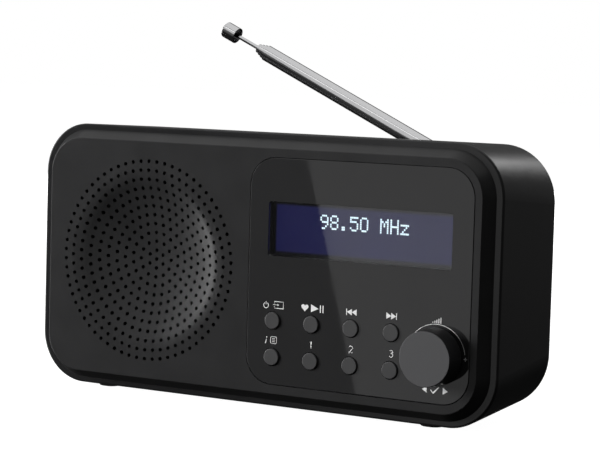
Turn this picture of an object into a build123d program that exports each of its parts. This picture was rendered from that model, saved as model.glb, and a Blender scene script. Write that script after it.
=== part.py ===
"""Tabletop radio: a glossy control panel and a dished speaker grille on a raised front panel,
a one-piece cabinet sleeve, a rear cover with battery door and sockets, and a folding aerial.

Frame: +X to the right seen from the front, -Y towards the listener, +Z up.
Origin: the middle of the footprint, on the surface the feet stand on.
"Depth" below always means millimetres behind the raised front face.
"""
from build123d import *
import math
import os

os.makedirs("parts", exist_ok=True)

# ---- driving dimensions (mm) -------------------------------------------------------------
BODY_W = 152.0              # cabinet width at the front rim
BODY_H = 78.2               # cabinet height at the front rim
BODY_D = 40.3               # raised front face to the back of the cabinet
BACK_W = 151.0              # the sleeve tapers a little towards the back
BACK_H = 75.4
RIM_R = 14.7
BACK_R = 16.4
FOOT_H = 0.8

FACE_W = 142.7              # raised front face
FACE_H = 69.75
FACE_R = 10.5
CHAMFER_W = 2.45
CHAMFER_D = 3.67

KNOB_PROUD = 7.08           # knob face in front of the panel
AERIAL_REAR = 45.9          # rearmost point of the aerial hinge, as a depth
FACE_Y = KNOB_PROUD - (KNOB_PROUD + AERIAL_REAR) / 2
AXIS_Z = BODY_H / 2 + FOOT_H
AXIS_X = 0.0


def depth_plane(depth):
    """Plane parallel to the front at this depth; local x is right and local y is up."""
    return Plane(origin=(AXIS_X, FACE_Y + depth, AXIS_Z), x_dir=(1, 0, 0), z_dir=(0, -1, 0))


def turning_plane(x, z):
    """Half-section plane for turned parts: local x is the radius, local y is the depth."""
    return Plane(origin=(x, FACE_Y, AXIS_Z + z), x_dir=(1, 0, 0), z_dir=(0, 0, 1))


def turning_axis(x, z):
    """Front-to-back axis through this point of the front."""
    return Axis((x, FACE_Y, AXIS_Z + z), (0, 1, 0))


def at(x, depth, z):
    """A point given by its place on the front and its depth."""
    return (x, FACE_Y + depth, AXIS_Z + z)


def save(builder, name):
    """Label a finished piece and write it to its own file."""
    builder.part.label = name
    export_step(builder.part, f"parts/{name}.step")


def cylinder_at(x, z, radius, start, end, mode=Mode.ADD):
    """Front-to-back cylinder between two depths, joined to the open part."""
    with BuildSketch(depth_plane(start)) as outline:
        with Locations((x, z)):
            Circle(radius)
    extrude(outline.sketch, amount=start - end, mode=mode)


def block_at(x, z, width, height, start, end, radius=0.0, mode=Mode.ADD):
    """Front-to-back block between two depths, with optional rounded corners."""
    with BuildSketch(depth_plane(start)) as outline:
        with Locations((x, z)):
            if radius:
                RectangleRounded(width, height, radius)
            else:
                Rectangle(width, height)
    extrude(outline.sketch, amount=start - end, mode=mode)


def turned(x, z, corners, mode=Mode.ADD):
    """Revolved piece from a closed polygon of (radius, depth) points."""
    with BuildSketch(turning_plane(x, z)) as half_section:
        with BuildLine():
            Polyline(*corners, close=True)
        make_face()
    revolve(half_section.sketch, axis=turning_axis(x, z), mode=mode)


# ---- shared places -----------------------------------------------------------------------
# case screws: one in each corner, through the rear cover and the sleeve into the front panel
CASE_SCREWS = [(sx * 66.6, sz * 29.8) for sx in (-1, 1) for sz in (-1, 1)]
CASE_SCREW_R = 1.25
POST_R = 2.9
POST_END = 20.0

# control panel and what shows through it
PANEL_X = 33.96
PANEL_Z = 0.065
PANEL_W = 70.54
PANEL_H = 64.83
PANEL_R = 8.2
PANEL_T = 1.8
PANEL_GAP = 0.15
WINDOW_X = 33.9
WINDOW_Z = 12.25
WINDOW_W = 57.8
WINDOW_H = 15.5
WINDOW_R = 0.8
LCD_W = 59.8
LCD_H = 17.5
LCD_DEPTH = 2.9
LCD_T = 1.6
LIGHT_GUIDE_T = 3.0

BUTTON_X0 = 7.24
BUTTON_DX = 12.63
BUTTON_TOP_Z = -13.93
BUTTON_LOW_Z = -24.34
BUTTON_R = 2.43
BUTTON_HOLE_R = 2.63
BUTTON_PROUD = 0.5
BUTTONS = {
    "power": (0, BUTTON_TOP_Z),
    "play": (1, BUTTON_TOP_Z),
    "previous": (2, BUTTON_TOP_Z),
    "next": (3, BUTTON_TOP_Z),
    "menu": (0, BUTTON_LOW_Z),
    "preset_1": (1, BUTTON_LOW_Z),
    "preset_2": (2, BUTTON_LOW_Z),
    "preset_3": (3, BUTTON_LOW_Z),
}

KNOB_X = 59.0
KNOB_Z = -19.11
KNOB_R = 7.62                  # at the face
KNOB_BASE_R = 8.1
SHAFT_R = 2.98
BUSH_BORE_R = 3.05
SPINDLE_R = 2.0
SPINDLE_FLAT = 1.5          # distance of the spindle's flat from its axis
KEY_GAP = 0.05

# main board behind the control panel
BOARD_FRONT = 12.0
BOARD_T = 1.6
BOARD_BACK = BOARD_FRONT + BOARD_T
BOARD_SCREWS = [(x, z) for x in (3.0, 52.0) for z in (-30.5, 30.5)]

# loudspeaker and its grille
SPEAKER_X = -36.3
DISH_DEPTH = 5.28
DISH_R = 59.5               # radius of the dish's spherical part
DISH_BLEND_R = 10.0         # convex radius that rolls the face into the dish
DISH_SHELL = 1.6
HOLE_RINGS = 11
HOLE_PITCH = 2.651
HOLE_R = 0.56
EAR_PITCH_R = 36.0
SEAT_DEPTH = 8.6

# rear cover
COVER_FRONT = 37.3
COVER_W = 145.5
COVER_H = 71.5
COVER_R = 12.45
DOOR_X = 24.0
DOOR_W = 60.0
DOOR_LOW = -29.8
DOOR_TOP = 10.0
DOOR_T = 1.6
DOOR_GAP = 0.2
TRAY_W = 55.0
TRAY_H = 36.0
TRAY_Z = -9.5
TRAY_FLOOR = 22.5
TRAY_WALL = 1.5
JACK_X = -30.0
USB_X = -46.0
SOCKET_Z = -26.0
SOCKET_BOARD_BACK = 25.1
SOCKET_POSTS = (-54.5, -38.0)

# aerial: pivot on the back, raised to the left
PIVOT_X = 47.4
PIVOT_Z = 28.7
AERIAL_DEPTH = 43.3
AERIAL_ANGLE = 25.05        # degrees above horizontal, towards -X
TUBE_R = 2.45
TUBE_WALL = 0.3
TUBE_START = 5.5
TUBE_END = 77.9

# ---- front panel -------------------------------------------------------------------------
SKIRT_W = 146.56
SKIRT_H = 73.36
SKIRT_R = 12.8
SKIRT_END = 10.0
SKIRT_WALL = 1.68

# the dish: a spherical middle, tangent to a convex blend, tangent to the flat face
dish_centre_y = DISH_DEPTH - DISH_R
blend_r = math.sqrt((DISH_R + DISH_BLEND_R) ** 2 - (DISH_BLEND_R - dish_centre_y) ** 2)
share = DISH_R / (DISH_R + DISH_BLEND_R)
tangent_r = blend_r * share
tangent_d = dish_centre_y + (DISH_BLEND_R - dish_centre_y) * share
shell_r = math.sqrt((DISH_R + DISH_SHELL) ** 2 - (CHAMFER_D - dish_centre_y) ** 2)

with BuildPart() as front_panel:
    with BuildSketch(depth_plane(0)):
        RectangleRounded(FACE_W, FACE_H, FACE_R)
    with BuildSketch(depth_plane(CHAMFER_D)):
        RectangleRounded(FACE_W + 2 * CHAMFER_W, FACE_H + 2 * CHAMFER_W, FACE_R + 2.8)
    loft()
    face_edges = front_panel.faces().sort_by(Axis.Y)[0].edges()
    fillet(face_edges, 0.35)
    block_at(0, 0, SKIRT_W, SKIRT_H, CHAMFER_D - 0.2, SKIRT_END, SKIRT_R)
    block_at(0, 0, SKIRT_W - 2 * SKIRT_WALL, SKIRT_H - 2 * SKIRT_WALL, CHAMFER_D, SKIRT_END,
             SKIRT_R - SKIRT_WALL, mode=Mode.SUBTRACT)
    # dish shell behind the face, then the dish itself
    with BuildSketch(turning_plane(SPEAKER_X, 0)):
        with BuildLine():
            Polyline((0, DISH_DEPTH + DISH_SHELL), (0, CHAMFER_D - 1), (shell_r, CHAMFER_D - 1),
                     (shell_r, CHAMFER_D))
            RadiusArc((shell_r, CHAMFER_D), (0, DISH_DEPTH + DISH_SHELL), -(DISH_R + DISH_SHELL))
        make_face()
    revolve(axis=turning_axis(SPEAKER_X, 0))
    with BuildSketch(turning_plane(SPEAKER_X, 0)):
        with BuildLine():
            Polyline((0, DISH_DEPTH), (0, -1), (blend_r, -1), (blend_r, 0))
            RadiusArc((blend_r, 0), (tangent_r, tangent_d), DISH_BLEND_R)
            RadiusArc((tangent_r, tangent_d), (0, DISH_DEPTH), -DISH_R)
        make_face()
    revolve(axis=turning_axis(SPEAKER_X, 0), mode=Mode.SUBTRACT)
    # loudspeaker seat and its screw posts
    turned(SPEAKER_X, 0, [(30.2, CHAMFER_D - 0.5), (32.0, CHAMFER_D - 0.5), (32.0, SEAT_DEPTH),
                          (30.2, SEAT_DEPTH)])
    for angle in (45, 135, 225, 315):
        post_x = SPEAKER_X + EAR_PITCH_R * math.cos(math.radians(angle))
        post_z = EAR_PITCH_R * math.sin(math.radians(angle))
        cylinder_at(post_x, post_z, 2.5, CHAMFER_D - 0.5, SEAT_DEPTH + 0.6)
        cylinder_at(post_x, post_z, 1.0, CHAMFER_D + 0.8, SEAT_DEPTH + 0.6, mode=Mode.SUBTRACT)
    # corner posts for the case screws, and posts for the main board
    for x, z in CASE_SCREWS:
        cylinder_at(x, z, POST_R, CHAMFER_D - 0.5, POST_END)
        cylinder_at(x, z, CASE_SCREW_R, 11.0, POST_END, mode=Mode.SUBTRACT)
    for x, z in BOARD_SCREWS:
        cylinder_at(x, z, 2.5, CHAMFER_D - 0.5, BOARD_FRONT)
        cylinder_at(x, z, 0.9, 6.0, BOARD_FRONT, mode=Mode.SUBTRACT)
    # recess for the control panel, and its cut-outs
    block_at(PANEL_X, PANEL_Z, PANEL_W, PANEL_H, -1, PANEL_T, PANEL_R, mode=Mode.SUBTRACT)
    block_at(WINDOW_X, WINDOW_Z, WINDOW_W, WINDOW_H, 0, LCD_DEPTH, WINDOW_R, mode=Mode.SUBTRACT)
    block_at(WINDOW_X, WINDOW_Z, LCD_W + 0.4, LCD_H + 0.4, LCD_DEPTH, CHAMFER_D + 0.1, 0.5,
             mode=Mode.SUBTRACT)
    for column, z in BUTTONS.values():
        cylinder_at(BUTTON_X0 + column * BUTTON_DX, z, BUTTON_HOLE_R, 0, CHAMFER_D + 0.1,
                    mode=Mode.SUBTRACT)
    cylinder_at(KNOB_X, KNOB_Z, 4.0, 0, CHAMFER_D + 0.1, mode=Mode.SUBTRACT)
    # grille holes: one in the middle, then rings of 6, 12, 18 ... every other ring turned half a step
    with BuildSketch(depth_plane(-1)):
        with Locations((SPEAKER_X, 0)):
            Circle(HOLE_R)
        for ring in range(1, HOLE_RINGS + 1):
            count = 6 * ring
            turn = 0 if ring % 2 == 0 else 180 / count
            for i in range(count):
                angle = math.radians(turn + 360 * i / count)
                with Locations((SPEAKER_X + HOLE_PITCH * ring * math.cos(angle),
                                HOLE_PITCH * ring * math.sin(angle))):
                    Circle(HOLE_R)
    extrude(amount=-(DISH_DEPTH + DISH_SHELL + 2), mode=Mode.SUBTRACT)
save(front_panel, "front_panel")

# ---- cabinet sleeve ----------------------------------------------------------------------
INNER_W = 144.6
INNER_H = 71.0
INNER_R = 12.0
FEET = [(sx * x, depth) for sx in (-1, 1) for x, depth in ((54.4, 9.3), (42.0, 32.0))]
FOOT_W = 6.8
FOOT_L = 7.0
FOOT_CORNER_R = 3.0
FOOT_TOP = FOOT_H + 0.9


def foot_plane(height):
    """Horizontal plane at this height above the standing surface."""
    return Plane.XY.offset(height)


with BuildPart() as cabinet:
    with BuildSketch(depth_plane(CHAMFER_D)):
        RectangleRounded(BODY_W, BODY_H, RIM_R)
    with BuildSketch(depth_plane(BODY_D)):
        RectangleRounded(BACK_W, BACK_H, BACK_R)
    loft()
    fillet(cabinet.faces().sort_by(Axis.Y)[0].edges(), 0.6)
    fillet(cabinet.faces().sort_by(Axis.Y)[-1].edges(), 1.2)
    block_at(0, 0, INNER_W, INNER_H, 0, BODY_D + 1, INNER_R, mode=Mode.SUBTRACT)
    block_at(0, 0, SKIRT_W + 0.2, SKIRT_H + 0.2, 0, SKIRT_END + 0.2, SKIRT_R + 0.1,
             mode=Mode.SUBTRACT)
    block_at(0, 0, COVER_W + 0.3, COVER_H + 0.3, COVER_FRONT, BODY_D + 1, COVER_R + 0.15,
             mode=Mode.SUBTRACT)
    for x, z in CASE_SCREWS:
        cylinder_at(x, z, 3.6, POST_END, COVER_FRONT)
        cylinder_at(x, z, CASE_SCREW_R + 0.2, POST_END - 1, COVER_FRONT + 1, mode=Mode.SUBTRACT)
    with BuildSketch(foot_plane(0)):
        for x, depth in FEET:
            with Locations((x, FACE_Y + depth)):
                RectangleRounded(FOOT_W, FOOT_L, FOOT_CORNER_R)
    extrude(amount=FOOT_TOP, mode=Mode.SUBTRACT)
save(cabinet, "cabinet")

with BuildPart() as feet:
    with BuildSketch(foot_plane(0)):
        for x, depth in FEET:
            with Locations((x, FACE_Y + depth)):
                RectangleRounded(FOOT_W, FOOT_L, FOOT_CORNER_R)
    extrude(amount=FOOT_TOP)
    fillet(feet.faces().group_by(Axis.Z)[0].edges(), 0.35)
save(feet, "feet")

# ---- control panel, display --------------------------------------------------------------
with BuildPart() as control_panel:
    block_at(PANEL_X, PANEL_Z, PANEL_W - 2 * PANEL_GAP, PANEL_H - 2 * PANEL_GAP, 0, PANEL_T,
             PANEL_R - PANEL_GAP)
    fillet(control_panel.faces().sort_by(Axis.Y)[0].edges(), 0.2)
    block_at(WINDOW_X, WINDOW_Z, WINDOW_W, WINDOW_H, -1, PANEL_T + 1, WINDOW_R,
             mode=Mode.SUBTRACT)
    for column, z in BUTTONS.values():
        cylinder_at(BUTTON_X0 + column * BUTTON_DX, z, BUTTON_HOLE_R, -1, PANEL_T + 1,
                    mode=Mode.SUBTRACT)
    cylinder_at(KNOB_X, KNOB_Z, 4.0, -1, PANEL_T + 1, mode=Mode.SUBTRACT)
save(control_panel, "control_panel")

with BuildPart() as display_window:
    block_at(WINDOW_X, WINDOW_Z, WINDOW_W - 0.1, WINDOW_H - 0.1, 0.2, 1.4, WINDOW_R)
save(display_window, "display_window")

with BuildPart() as lcd_glass:
    block_at(WINDOW_X, WINDOW_Z, LCD_W, LCD_H, LCD_DEPTH, LCD_DEPTH + LCD_T, 0.4)
save(lcd_glass, "lcd_glass")

guide_front = LCD_DEPTH + LCD_T
guide_back = guide_front + LIGHT_GUIDE_T
with BuildPart() as light_guide:
    block_at(WINDOW_X, WINDOW_Z, LCD_W, LCD_H, guide_front, guide_back, 0.4)
save(light_guide, "light_guide")

holder_back = guide_back + 1.2
with BuildPart() as lcd_holder:
    block_at(WINDOW_X, WINDOW_Z, LCD_W + 4.6, LCD_H + 4.4, CHAMFER_D, holder_back, 1.5)
    block_at(WINDOW_X, WINDOW_Z, LCD_W + 0.4, LCD_H + 0.4, CHAMFER_D, guide_back, 0.6,
             mode=Mode.SUBTRACT)
    for peg_x in (6.0, 61.5):
        cylinder_at(peg_x, WINDOW_Z, 1.5, holder_back - 0.2, BOARD_FRONT)
save(lcd_holder, "lcd_holder")

PIN_COUNT = 16
PIN_PITCH = 2.0
with BuildPart() as display_pins:
    for i in range(PIN_COUNT):
        pin_x = WINDOW_X + (i - (PIN_COUNT - 1) / 2) * PIN_PITCH
        block_at(pin_x, WINDOW_Z - 7.0, 0.5, 0.5, holder_back, BOARD_FRONT)
save(display_pins, "display_pins")

# ---- buttons and their switches ----------------------------------------------------------
FLANGE_R = 3.6
FLANGE_DEPTH = 3.95
STEM_R = 1.3
SWITCH_DEPTH = 8.5
SWITCH_SIDE = 6.0
STEM_END = SWITCH_DEPTH + 0.9   # the stem reaches into the switch and rests on its dome

for name, (column, z) in BUTTONS.items():
    x = BUTTON_X0 + column * BUTTON_DX
    with BuildPart() as button:
        cylinder_at(x, z, BUTTON_R, -BUTTON_PROUD, FLANGE_DEPTH)
        fillet(button.faces().sort_by(Axis.Y)[0].edges(), 0.3)
        cylinder_at(x, z, FLANGE_R, FLANGE_DEPTH, FLANGE_DEPTH + 0.8)
        cylinder_at(x, z, STEM_R, FLANGE_DEPTH + 0.8, STEM_END)
    save(button, f"{name}_button")

with BuildPart() as tact_switches:
    for column, z in BUTTONS.values():
        x = BUTTON_X0 + column * BUTTON_DX
        block_at(x, z, SWITCH_SIDE, SWITCH_SIDE, SWITCH_DEPTH, BOARD_FRONT, 0.4)
        cylinder_at(x, z, STEM_R + 0.35, SWITCH_DEPTH, STEM_END + 1.0, mode=Mode.SUBTRACT)
save(tact_switches, "tact_switches")

# ---- volume knob and rotary encoder ------------------------------------------------------
KNOB_BACK = -0.7
SHAFT_TIP = -4.6
SHOULDER = 6.4
SPINDLE_END = 10.9
ROTOR_DEPTH = 7.2
ROTOR_T = 2.0


def keyed_round(radius, flat):
    """Round outline with one flat at this distance from the knob's axis."""
    with Locations((KNOB_X, KNOB_Z)):
        Circle(radius)
    with Locations((KNOB_X, KNOB_Z + flat + radius)):
        Rectangle(2 * radius, 2 * radius, mode=Mode.SUBTRACT)


with BuildPart() as knob:
    turned(KNOB_X, KNOB_Z, [(0, -KNOB_PROUD), (KNOB_R, -KNOB_PROUD), (KNOB_BASE_R, KNOB_BACK),
                            (0, KNOB_BACK)])
    fillet(knob.faces().sort_by(Axis.Y)[0].edges(), 0.2)
    fillet(knob.faces().sort_by(Axis.Y)[-1].edges(), 0.3)
    cylinder_at(KNOB_X, KNOB_Z, KNOB_R - 1.2, -2.2, KNOB_BACK, mode=Mode.SUBTRACT)
    cylinder_at(KNOB_X, KNOB_Z, SHAFT_R + 1.6, -2.4, KNOB_BACK)
    cylinder_at(KNOB_X, KNOB_Z, SHAFT_R + 0.02, SHAFT_TIP, KNOB_BACK, mode=Mode.SUBTRACT)
save(knob, "volume_knob")

with BuildPart() as encoder_shaft:
    cylinder_at(KNOB_X, KNOB_Z, SHAFT_R, SHAFT_TIP, SHOULDER)
    with BuildSketch(depth_plane(SHOULDER)):
        keyed_round(SPINDLE_R, SPINDLE_FLAT)
    extrude(amount=SHOULDER - SPINDLE_END)
save(encoder_shaft, "encoder_shaft")

with BuildPart() as encoder_rotor:
    cylinder_at(KNOB_X, KNOB_Z, 4.8, ROTOR_DEPTH, ROTOR_DEPTH + ROTOR_T)
    with BuildSketch(depth_plane(ROTOR_DEPTH)):
        keyed_round(SPINDLE_R + KEY_GAP, SPINDLE_FLAT + KEY_GAP)
    extrude(amount=-ROTOR_T, mode=Mode.SUBTRACT)
save(encoder_rotor, "encoder_rotor")

with BuildPart() as encoder_body:
    block_at(KNOB_X, KNOB_Z, 12.0, 12.0, 5.5, BOARD_FRONT, 0.6)
    cylinder_at(KNOB_X, KNOB_Z, 3.5, 1.0, 5.6)
    cylinder_at(KNOB_X, KNOB_Z, BUSH_BORE_R, 1.0, 7.0, mode=Mode.SUBTRACT)
    cylinder_at(KNOB_X, KNOB_Z, 5.0, 7.0, 9.4, mode=Mode.SUBTRACT)
    cylinder_at(KNOB_X, KNOB_Z, SPINDLE_R + 0.2, 9.0, BOARD_FRONT, mode=Mode.SUBTRACT)
save(encoder_body, "encoder_body")

# ---- main board and what is on it --------------------------------------------------------
with BuildPart() as main_board:
    block_at(33.25, 0, 72.5, 67.0, BOARD_FRONT, BOARD_BACK, 2.0)
    for x, z in CASE_SCREWS:
        cylinder_at(x, z, 4.4, BOARD_FRONT - 1, BOARD_BACK + 1, mode=Mode.SUBTRACT)
    for x, z in BOARD_SCREWS:
        cylinder_at(x, z, 1.1, BOARD_FRONT - 1, BOARD_BACK + 1, mode=Mode.SUBTRACT)
save(main_board, "main_board")

with BuildPart() as board_screws:
    for x, z in BOARD_SCREWS:
        cylinder_at(x, z, 0.9, 7.0, BOARD_BACK)
        cylinder_at(x, z, 1.9, BOARD_BACK, BOARD_BACK + 1.3)
save(board_screws, "board_screws")

with BuildPart() as tuner_shield:
    block_at(46.0, 13.0, 26.0, 22.0, BOARD_BACK, BOARD_BACK + 3.8, 0.8)
    fillet(tuner_shield.faces().sort_by(Axis.Y)[-1].edges(), 0.4)
    block_at(46.0, 13.0, 25.4, 21.4, BOARD_BACK, BOARD_BACK + 3.5, 0.5, mode=Mode.SUBTRACT)
save(tuner_shield, "tuner_shield")

CHIPS = [(16.0, 10.0, 12.0, 12.0), (24.0, -14.0, 9.0, 9.0), (44.0, -22.0, 7.0, 5.0)]
with BuildPart() as board_chips:
    for x, z, width, height in CHIPS:
        block_at(x, z, width, height, BOARD_BACK, BOARD_BACK + 1.4, 0.3)
save(board_chips, "board_chips")

with BuildPart() as capacitors:
    for x, z in ((6.0, -8.0), (6.0, -16.0), (36.0, -10.0), (60.0, -8.0)):
        cylinder_at(x, z, 2.5, BOARD_BACK, BOARD_BACK + 6.5)
save(capacitors, "capacitors")

# ---- loudspeaker -------------------------------------------------------------------------
BASKET_FRONT = SEAT_DEPTH + 0.6
BASKET_T = 1.0
BASKET_BACK = 21.2
MAGNET_BACK = 28.6

with BuildPart() as speaker_gasket:
    turned(SPEAKER_X, 0, [(30.2, SEAT_DEPTH), (31.8, SEAT_DEPTH), (31.8, BASKET_FRONT),
                          (30.2, BASKET_FRONT)])
save(speaker_gasket, "speaker_gasket")

with BuildPart() as speaker_basket:
    turned(SPEAKER_X, 0, [(30.0, BASKET_FRONT), (31.8, BASKET_FRONT), (31.8, 10.2), (30.8, 11.0),
                          (29.2, 11.0), (15.5, 20.4), (15.5, BASKET_BACK), (7.8, BASKET_BACK),
                          (7.8, 20.2), (14.6, 19.6), (28.0, 9.9), (30.0, 9.9)])
    with BuildSketch(depth_plane(BASKET_FRONT)):
        with Locations((SPEAKER_X, 0)):
            with PolarLocations(34.6, 4, start_angle=45):
                SlotOverall(9.0, 7.0)
        with Locations((SPEAKER_X, 0)):
            with PolarLocations(EAR_PITCH_R, 4, start_angle=45):
                Circle(1.1, mode=Mode.SUBTRACT)
    extrude(amount=-BASKET_T)
    with BuildSketch(depth_plane(12.0)):
        with Locations((SPEAKER_X, 0)):
            with PolarLocations(21.0, 6):
                RectangleRounded(6.0, 11.0, 1.5)
    extrude(amount=-8.0, mode=Mode.SUBTRACT)
save(speaker_basket, "speaker_basket")

with BuildPart() as speaker_surround:
    turned(SPEAKER_X, 0, [(25.6, 9.4), (26.4, 8.9), (27.4, 8.3), (28.4, 8.3), (29.3, 8.9),
                          (29.8, 9.2), (29.8, 9.5), (29.1, 9.3), (28.2, 8.8), (27.5, 8.8),
                          (26.6, 9.3), (25.9, 9.7)])
save(speaker_surround, "speaker_surround")

with BuildPart() as speaker_cone:
    turned(SPEAKER_X, 0, [(7.0, 17.2), (25.6, 9.72), (25.9, 9.72), (25.9, 10.1), (7.0, 17.7)])
save(speaker_cone, "speaker_cone")

with BuildPart() as dust_cap:
    turned(SPEAKER_X, 0, [(0, 13.6), (3.5, 14.0), (6.5, 15.2), (8.3, 16.5), (7.9, 16.7),
                          (6.2, 15.6), (3.3, 14.4), (0, 14.0)])
save(dust_cap, "dust_cap")

with BuildPart() as voice_coil:
    turned(SPEAKER_X, 0, [(6.3, 17.8), (6.9, 17.8), (6.9, 25.0), (6.3, 25.0)])
save(voice_coil, "voice_coil")

with BuildPart() as speaker_magnet:
    turned(SPEAKER_X, 0, [(0, BASKET_BACK - 1.0), (5.8, BASKET_BACK - 1.0), (5.8, 26.0),
                          (7.3, 26.0), (7.3, BASKET_BACK), (14.5, BASKET_BACK),
                          (14.5, MAGNET_BACK - 0.6), (13.9, MAGNET_BACK), (0, MAGNET_BACK)])
save(speaker_magnet, "speaker_magnet")

with BuildPart() as speaker_screws:
    for angle in (45, 135, 225, 315):
        screw_x = SPEAKER_X + EAR_PITCH_R * math.cos(math.radians(angle))
        screw_z = EAR_PITCH_R * math.sin(math.radians(angle))
        cylinder_at(screw_x, screw_z, 1.0, 5.0, BASKET_FRONT + BASKET_T)
        cylinder_at(screw_x, screw_z, 2.1, BASKET_FRONT + BASKET_T, BASKET_FRONT + BASKET_T + 1.3)
save(speaker_screws, "speaker_screws")

# ---- rear cover, battery and door --------------------------------------------------------
door_height = DOOR_TOP - DOOR_LOW
door_z = (DOOR_TOP + DOOR_LOW) / 2
tray_front = TRAY_FLOOR - TRAY_WALL
HINGE_DEPTH = BODY_D - DOOR_T / 2
HINGE_Z = DOOR_LOW + DOOR_T / 2
REST_X = -20.0

with BuildPart() as rear_cover:
    block_at(0, 0, COVER_W, COVER_H, COVER_FRONT, BODY_D, COVER_R)
    fillet(rear_cover.faces().sort_by(Axis.Y)[-1].edges(), 0.3)
    block_at(DOOR_X, TRAY_Z, TRAY_W + 2 * TRAY_WALL, TRAY_H + 2 * TRAY_WALL, tray_front,
             COVER_FRONT + 0.5, 1.0)
    for x in SOCKET_POSTS:
        cylinder_at(x, SOCKET_Z, 2.2, SOCKET_BOARD_BACK, COVER_FRONT + 0.5)
        cylinder_at(x, SOCKET_Z, 0.9, SOCKET_BOARD_BACK, SOCKET_BOARD_BACK + 8, mode=Mode.SUBTRACT)
    # battery bay and the door's recess
    block_at(DOOR_X, TRAY_Z, TRAY_W, TRAY_H, TRAY_FLOOR, BODY_D + 1, 0.6, mode=Mode.SUBTRACT)
    block_at(DOOR_X, door_z, DOOR_W + 2 * DOOR_GAP, door_height + 2 * DOOR_GAP,
             BODY_D - DOOR_T - DOOR_GAP, BODY_D + 1, mode=Mode.SUBTRACT)
    # finger notch above the door
    block_at(DOOR_X, DOOR_TOP + 1.2, 14.0, 3.4, BODY_D - 1.2, BODY_D + 1, 1.2, mode=Mode.SUBTRACT)
    for x, z in CASE_SCREWS:
        cylinder_at(x, z, CASE_SCREW_R + 0.2, COVER_FRONT - 1, BODY_D + 1, mode=Mode.SUBTRACT)
        cylinder_at(x, z, 2.6, BODY_D - 1.2, BODY_D + 1, mode=Mode.SUBTRACT)
    cylinder_at(JACK_X, SOCKET_Z, 4.1, COVER_FRONT - 1, BODY_D + 1, mode=Mode.SUBTRACT)
    block_at(USB_X, SOCKET_Z, 9.6, 3.8, COVER_FRONT - 1, BODY_D + 1, 1.85, mode=Mode.SUBTRACT)
    cylinder_at(PIVOT_X, PIVOT_Z, 2.05, COVER_FRONT - 1, BODY_D + 1, mode=Mode.SUBTRACT)
save(rear_cover, "rear_cover")

# soft peg that the folded aerial lies on
with BuildPart() as aerial_rest:
    block_at(REST_X, PIVOT_Z - TUBE_R - 1.3, 8.0, 2.2, BODY_D, AERIAL_DEPTH, 1.0)
    fillet(aerial_rest.faces().sort_by(Axis.Y)[-1].edges(), 0.4)
save(aerial_rest, "aerial_rest")

with BuildPart() as battery_door:
    with BuildSketch(Plane.YZ.offset(DOOR_X - DOOR_W / 2)):
        with Locations((FACE_Y + HINGE_DEPTH, AXIS_Z + (HINGE_Z + DOOR_TOP) / 2)):
            Rectangle(DOOR_T, DOOR_TOP - HINGE_Z)
        with Locations((FACE_Y + HINGE_DEPTH, AXIS_Z + HINGE_Z)):
            Circle(DOOR_T / 2)
    extrude(amount=DOOR_W)
    block_at(DOOR_X, DOOR_TOP - 2.4, 10.0, 1.2, BODY_D - 4.6, BODY_D - 1.0)
    for i in range(5):
        block_at(DOOR_X, DOOR_TOP - 4.0 - 1.6 * i, 14.0, 0.7, BODY_D - 0.1, BODY_D + 0.25, 0.3)
save(battery_door, "battery_door")

PACK_W = 52.6
PACK_H = 35.0
PACK_X = DOOR_X + (TRAY_W - PACK_W) / 2 - 0.3
with BuildPart() as battery_pack:
    block_at(PACK_X, TRAY_Z, PACK_W, PACK_H, TRAY_FLOOR, 34.0, 2.0)
    fillet(battery_pack.faces().sort_by(Axis.Y)[0].edges(), 0.5)
save(battery_pack, "battery_pack")

contact_x = DOOR_X - TRAY_W / 2
contact_w = (PACK_X - PACK_W / 2) - contact_x
with BuildPart() as battery_contacts:
    for i in (-1, 0, 1):
        block_at(contact_x + contact_w / 2, TRAY_Z + 5.0 * i, contact_w, 2.2, TRAY_FLOOR, 30.0)
save(battery_contacts, "battery_contacts")

with BuildPart() as case_screws:
    for x, z in CASE_SCREWS:
        cylinder_at(x, z, CASE_SCREW_R, 12.6, BODY_D - 1.2)
        cylinder_at(x, z, 2.4, BODY_D - 1.2, BODY_D - 0.15)
    fillet(case_screws.faces().group_by(Axis.Y)[-1].edges(), 0.3)
    for x, z in CASE_SCREWS:
        block_at(x, z, 2.8, 0.6, BODY_D - 0.8, BODY_D, mode=Mode.SUBTRACT)
        block_at(x, z, 0.6, 2.8, BODY_D - 0.8, BODY_D, mode=Mode.SUBTRACT)
save(case_screws, "case_screws")

LABEL_T = 0.2
with BuildPart() as rating_label:
    block_at(-38.0, 2.0, 46.0, 22.0, BODY_D, BODY_D + LABEL_T, 1.5)
save(rating_label, "rating_label")

# ---- sockets -----------------------------------------------------------------------------
SOCKET_BOARD_FRONT = SOCKET_BOARD_BACK - 1.6
JACK_BORE_R = 1.8
JACK_BORE_L = 14.0

with BuildPart() as socket_board:
    block_at(-40.0, SOCKET_Z, 36.0, 11.0, SOCKET_BOARD_FRONT, SOCKET_BOARD_BACK, 1.0)
    for x in SOCKET_POSTS:
        cylinder_at(x, SOCKET_Z, 1.1, SOCKET_BOARD_FRONT - 1, SOCKET_BOARD_BACK + 1,
                    mode=Mode.SUBTRACT)
save(socket_board, "socket_board")

with BuildPart() as socket_screws:
    for x in SOCKET_POSTS:
        cylinder_at(x, SOCKET_Z, 0.9, SOCKET_BOARD_FRONT, SOCKET_BOARD_BACK + 7)
        cylinder_at(x, SOCKET_Z, 1.9, SOCKET_BOARD_FRONT - 1.3, SOCKET_BOARD_FRONT)
save(socket_screws, "socket_screws")

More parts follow.
